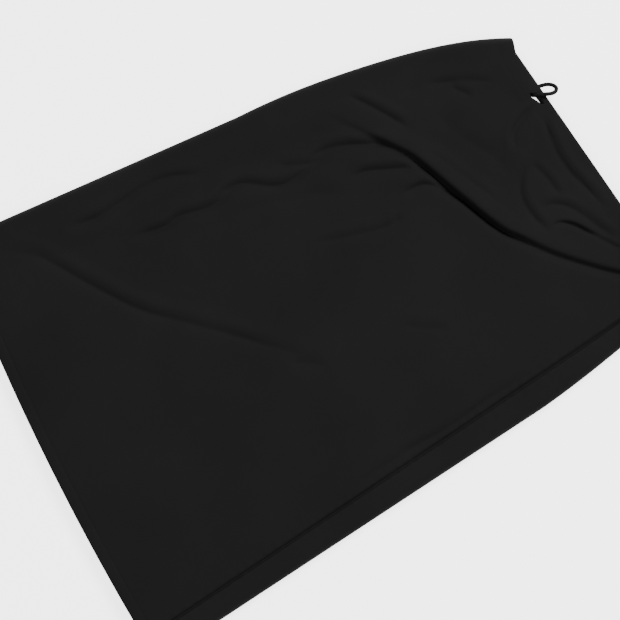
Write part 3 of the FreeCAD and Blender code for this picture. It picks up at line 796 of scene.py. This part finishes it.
def fabric(name, low, high, rib, strength, sheen, roughness=(0.78, 0.9)):
    """Stretch knit: fine ribs with cross stitches, cloudy colour and a soft sheen."""
    made, nodes, links, shader = material(name)
    vector = object_coords(nodes, links, (1, 1, 1))
    cloud = noise(nodes, links, vector, 9.0, 4.0)
    links.new(ramp_between(nodes, links, cloud, low, high), shader.inputs["Base Color"])
    ribs = wave(nodes, links, vector, rib, "Y", 0.4)
    courses = wave(nodes, links, vector, rib * 0.8, "X", 0.4)
    fibre = noise(nodes, links, vector, rib * 6, 2.0)
    knit = maths(nodes, links, "MULTIPLY", ribs, courses)
    height = maths(nodes, links, "ADD", knit, maths(nodes, links, "MULTIPLY", fibre, 0.5))
    bumped(nodes, links, shader, height, strength, 0.00018)
    spread = nodes.new("ShaderNodeMapRange")
    spread.inputs["To Min"].default_value = roughness[0]
    spread.inputs["To Max"].default_value = roughness[1]
    links.new(fibre, spread.inputs["Value"])
    links.new(spread.outputs["Result"], shader.inputs["Roughness"])
    shader.inputs["Specular IOR Level"].default_value = 0.06
    shader.inputs["Sheen Weight"].default_value = sheen
    shader.inputs["Sheen Roughness"].default_value = 0.45
    shader.inputs["Sheen Tint"].default_value = (0.75, 0.77, 0.8, 1)
    return made


def braid(name, low, high, scale):
    """Round braided cord: two sets of slanting strands."""
    made, nodes, links, shader = material(name)
    vector = object_coords(nodes, links, (1, 1, 1))
    one = wave(nodes, links, vector, scale, "DIAGONAL")
    turned = object_coords(nodes, links, (1, -1, 1))
    two = wave(nodes, links, turned, scale, "DIAGONAL")
    strands = maths(nodes, links, "MAXIMUM", one, two)
    links.new(ramp_between(nodes, links, strands, low, high), shader.inputs["Base Color"])
    bumped(nodes, links, shader, strands, 0.7, 0.0003)
    shader.inputs["Roughness"].default_value = 0.7
    shader.inputs["Specular IOR Level"].default_value = 0.08
    return made


def plastic(name, colour):
    made, nodes, links, shader = material(name)
    vector = object_coords(nodes, links, (1, 1, 1))
    grain = noise(nodes, links, vector, 2600.0, 2.0)
    cloud = noise(nodes, links, vector, 90.0, 2.0)
    lighter = tuple(1.25 * c for c in colour)
    links.new(ramp_between(nodes, links, cloud, colour, lighter), shader.inputs["Base Color"])
    bumped(nodes, links, shader, grain, 0.25, 0.00008)
    shader.inputs["Roughness"].default_value = 0.5
    shader.inputs["Specular IOR Level"].default_value = 0.2
    return made


def floor_material():
    made, nodes, links, shader = material("pale_floor")
    vector = object_coords(nodes, links, (1, 1, 1))
    cloud = noise(nodes, links, vector, 1.3, 2.0)
    colour = ramp_between(nodes, links, cloud, (0.93, 0.93, 0.93), (0.95, 0.95, 0.95))
    links.new(colour, shader.inputs["Base Color"])
    shader.inputs["Roughness"].default_value = 0.9
    shader.inputs["Specular IOR Level"].default_value = 0.1
    shader.inputs["Emission Color"].default_value = (1, 1, 1, 1)
    shader.inputs["Emission Strength"].default_value = 2.8
    return made


def use(obj, made):
    obj.data.materials.clear()
    obj.data.materials.append(made)


# ---------------------------------------------------------------- camera first
VIEW_WIDTH = 0.744
CAMERA_AIM = Vector((0.0103, -0.0002, 0.009))
CAMERA_ROLL = -29.1


def make_camera():
    data = bpy.data.cameras.new("camera")
    data.sensor_width = 36.0
    data.lens = 100.0
    distance = VIEW_WIDTH * data.lens / data.sensor_width
    camera = bpy.data.objects.new("camera", data)
    camera.location = CAMERA_AIM + Vector((0, 0, distance))
    camera.rotation_euler = (0, 0, math.radians(CAMERA_ROLL))
    data.clip_end = 50.0
    bpy.context.scene.collection.objects.link(camera)
    bpy.context.scene.camera = camera


def area_light(name, place, aim, size, power):
    data = bpy.data.lights.new(name, "AREA")
    data.shape = "SQUARE"
    data.size = size
    data.energy = power
    light = bpy.data.objects.new(name, data)
    light.location = place
    light.rotation_euler = (Vector(aim) - Vector(place)).to_track_quat("-Z", "Y").to_euler()
    bpy.context.scene.collection.objects.link(light)


def make_studio():
    size = 6.0
    mesh = bpy.data.meshes.new("floor")
    mesh.from_pydata([(-size, -size, 0), (size, -size, 0), (size, size, 0), (-size, size, 0)],
                     [], [(0, 1, 2, 3)])
    floor = bpy.data.objects.new("floor", mesh)
    bpy.context.scene.collection.objects.link(floor)
    use(floor, floor_material())
    world = bpy.data.worlds.new("studio")
    world.use_nodes = True
    world.node_tree.nodes["Background"].inputs["Color"].default_value = (1, 1, 1, 1)
    world.node_tree.nodes["Background"].inputs["Strength"].default_value = 0.36
    bpy.context.scene.world = world
    area_light("key", (3.7, 2.0, 4.3), (0.0, 0.0, 0.0), 2.2, 500.0)
    area_light("fill", (-0.7, -1.0, 2.3), (-0.2, -0.2, 0.0), 1.6, 34.0)


make_camera()
loop = drawcord_loop()

# ---------------------------------------------------------------- the pieces
row_shares, row_insets = cloth_rows()
black_cloth = fabric("black_stretch_knit", (0.0080, 0.0078, 0.0082), (0.0092, 0.0090, 0.0094),
                     rib=260.0, strength=0.25, sheen=0.0)
facing_cloth = fabric("black_facing_knit", (0.011, 0.011, 0.0116), (0.013, 0.013, 0.0138),
                      rib=300.0, strength=0.4, sheen=0.06)
tape_cloth = fabric("black_seam_tape", (0.004, 0.004, 0.0043), (0.006, 0.006, 0.0063),
                    rib=420.0, strength=0.5, sheen=0.0)
webbing_cloth = fabric("black_webbing", (0.011, 0.011, 0.012), (0.017, 0.017, 0.018),
                       rib=180.0, strength=1.0, sheen=0.15)
elastic_cloth = fabric("woven_elastic", (0.02, 0.02, 0.02), (0.035, 0.035, 0.036),
                       rib=220.0, strength=0.9, sheen=0.05)
label_cloth = fabric("pale_satin", (0.5, 0.5, 0.48), (0.58, 0.58, 0.56),
                     rib=500.0, strength=0.2, sheen=0.2, roughness=(0.4, 0.5))
thread = fabric("black_thread", (0.008, 0.008, 0.0085), (0.012, 0.012, 0.0125),
                rib=700.0, strength=0.6, sheen=0.1)
cord_braid = braid("black_braid", (0.0025, 0.0025, 0.0027), (0.006, 0.006, 0.0063), 420.0)
lock_plastic = plastic("black_plastic", (0.014, 0.014, 0.015))

front = front_cloth(row_shares, row_insets)
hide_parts("front_panel")
back = back_cloth(row_shares, row_insets)
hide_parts("back_panel")
for cloth in (front, back):
    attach(cloth, "skirt")
    use(cloth, black_cloth)

hem_strip = casing("hem_facing", HEM_CASING, from_waist=False, under_share=0.95)
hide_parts("hem_casing_front", "hem_casing_back")
waist_strip = casing("waist_facing", WAIST_CASING, from_waist=True, under_share=0.8)
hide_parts("waist_casing_front", "waist_casing_back")
for strip in (hem_strip, waist_strip):
    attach(strip, "skirt")
    use(strip, facing_cloth)

tape_right = seam_tape(
    "seam_tape_top", lambda rows: flat_width(rows) - seam_inset(rows))
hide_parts("seam_tape_right")
tape_left = seam_tape(
    "seam_tape_under", lambda rows: -math.pi * ROLL - under_inset(rows))
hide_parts("seam_tape_left")
for tape in (tape_right, tape_left):
    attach(tape, "skirt")
    use(tape, tape_cloth)

hem_stitches = surface_stitches("hem_stitches", HEM_DEPTH, from_waist=False,
                                pitch=7.0, length=2.4, radius=0.3, lift=-0.55)
casing_stitches = surface_stitches("casing_stitches", CASING_DEPTH, from_waist=True,
                                   pitch=3.4, length=2.3, radius=0.3, lift=-0.45)
slit_top = slit_edge("slit_stitches", STACK + 0.05)
for stitches in (hem_stitches, casing_stitches, slit_top):
    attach(stitches, "skirt")
    use(stitches, thread)

use(loop, cord_braid)
strap, bartack = grab_strap()
use(strap, webbing_cloth)
use(bartack, thread)
use(size_label(), label_cloth)

NODE_MATERIALS = {
    "hem_elastic": elastic_cloth,
    "waist_drawcord": cord_braid,
    "cord_lock_body": lock_plastic,
    "cord_lock_slider": lock_plastic,
}
for node, made in NODE_MATERIALS.items():
    use(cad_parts[node], made)

make_studio()
